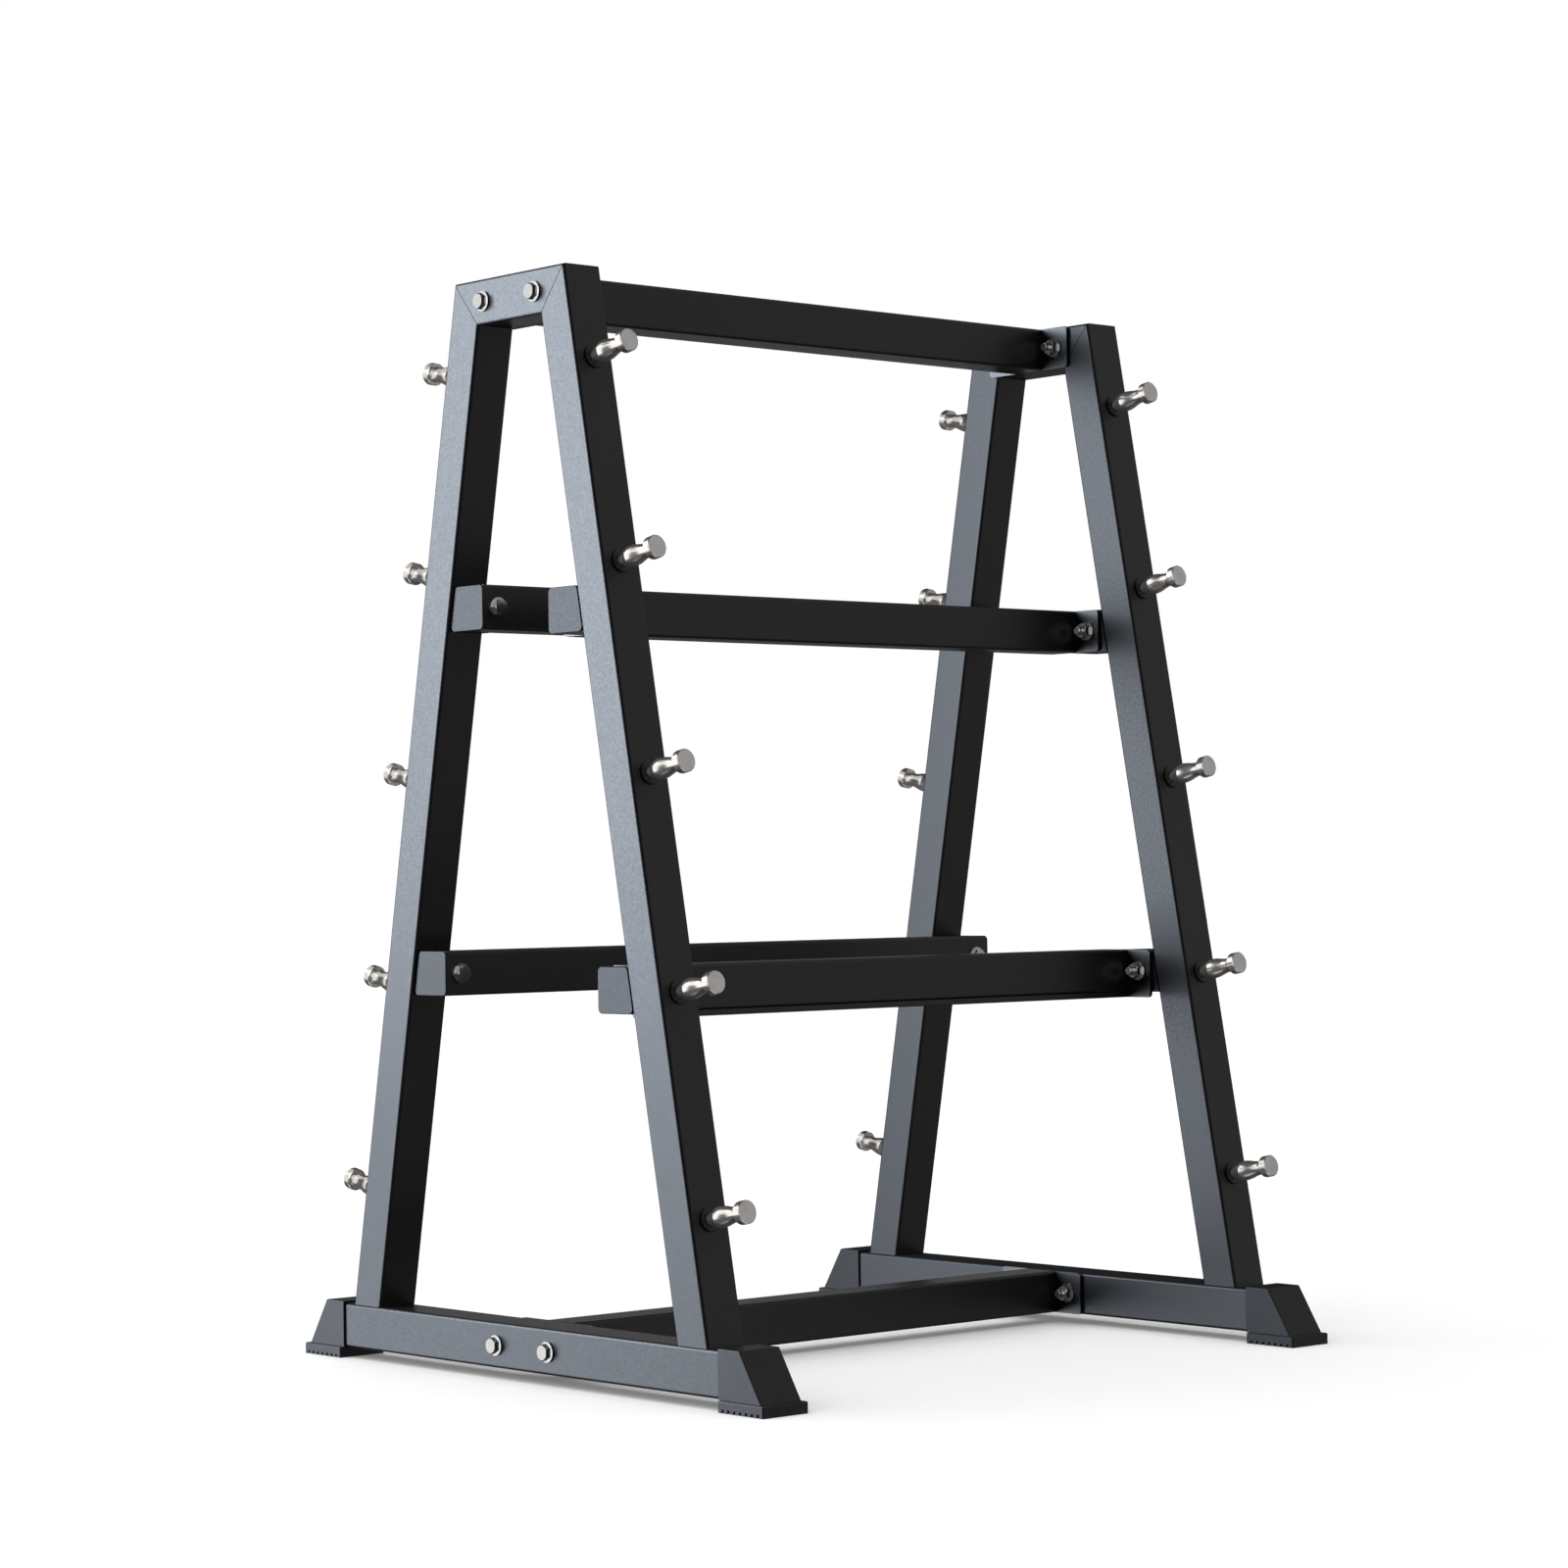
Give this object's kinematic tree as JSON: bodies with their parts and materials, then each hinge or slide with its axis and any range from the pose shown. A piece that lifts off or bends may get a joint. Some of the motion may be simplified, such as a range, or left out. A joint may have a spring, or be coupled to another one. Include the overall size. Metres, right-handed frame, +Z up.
{
  "type": "barbell rack",
  "caption": "Free-standing A-frame rack of welded square tube with waisted steel pegs on its sloping legs, on which fixed barbells rest.",
  "frame": {"origin": "on the floor, at the middle of the rack's footprint", "axes": "+Z up; X runs along the rails from the left A-frame to the right one; -Y is the front, where the flanged middle rails are"},
  "size_m": [1.04, 0.976, 1.45],
  "materials": {
    "powder_coat": "satin black powder coat with a fine orange-peel texture",
    "peg_chrome": "polished turned steel, chrome plated",
    "zinc_plate": "bright zinc plate",
    "bare_steel": "plain, inside the tubes",
    "cap_plastic": "moulded, fine grain",
    "pad_rubber": "matt, grooved sole"
  },
  "bodies": {
    "root": {"beam_bolts": "zinc_plate", "beam_nuts": "zinc_plate", "beam_washers": "zinc_plate", "bottom_beam": "powder_coat", "front_rail_nuts": "zinc_plate", "front_rail_studs": "zinc_plate", "front_rail_washers": "zinc_plate", "left_base_bar": "powder_coat", "left_bottom_beam_flange": "powder_coat", "left_front_foot_cap": "cap_plastic", "left_front_foot_pad": "pad_rubber", "left_front_leg": "powder_coat", "left_front_pegs": "peg_chrome", "left_lower_front_flange": "powder_coat", "left_lower_stub": "powder_coat", "left_rear_foot_cap": "cap_plastic", "left_rear_foot_pad": "pad_rubber", "left_rear_leg": "powder_coat", "left_rear_pegs": "peg_chrome", "left_top_bar": "powder_coat", "left_top_beam_flange": "powder_coat", "left_upper_front_flange": "powder_coat", "left_upper_stub": "powder_coat", "lower_front_rail": "powder_coat", "lower_front_stiffener": "powder_coat", "lower_rear_end_plates": "powder_coat", "lower_rear_rail": "powder_coat", "lower_rear_saddles": "powder_coat", "lower_stub_end_plates": "powder_coat", "peg_collars": "powder_coat", "peg_weld_nuts": "bare_steel", "rear_rail_bolts": "zinc_plate", "rear_rail_washers": "zinc_plate", "rear_rail_weld_nuts": "bare_steel", "right_base_bar": "powder_coat", "right_bottom_beam_flange": "powder_coat", "right_front_foot_cap": "cap_plastic", "right_front_foot_pad": "pad_rubber", "right_front_leg": "powder_coat", "right_front_pegs": "peg_chrome", "right_lower_front_flange": "powder_coat", "right_lower_stub": "powder_coat", "right_rear_foot_cap": "cap_plastic", "right_rear_foot_pad": "pad_rubber", "right_rear_leg": "powder_coat", "right_rear_pegs": "peg_chrome", "right_top_bar": "powder_coat", "right_top_beam_flange": "powder_coat", "right_upper_front_flange": "powder_coat", "right_upper_stub": "powder_coat", "top_beam": "powder_coat", "upper_front_rail": "powder_coat", "upper_rear_end_plates": "powder_coat", "upper_rear_rail": "powder_coat", "upper_rear_saddles": "powder_coat", "upper_stub_end_plates": "powder_coat"}
  },
  "joints": []
}
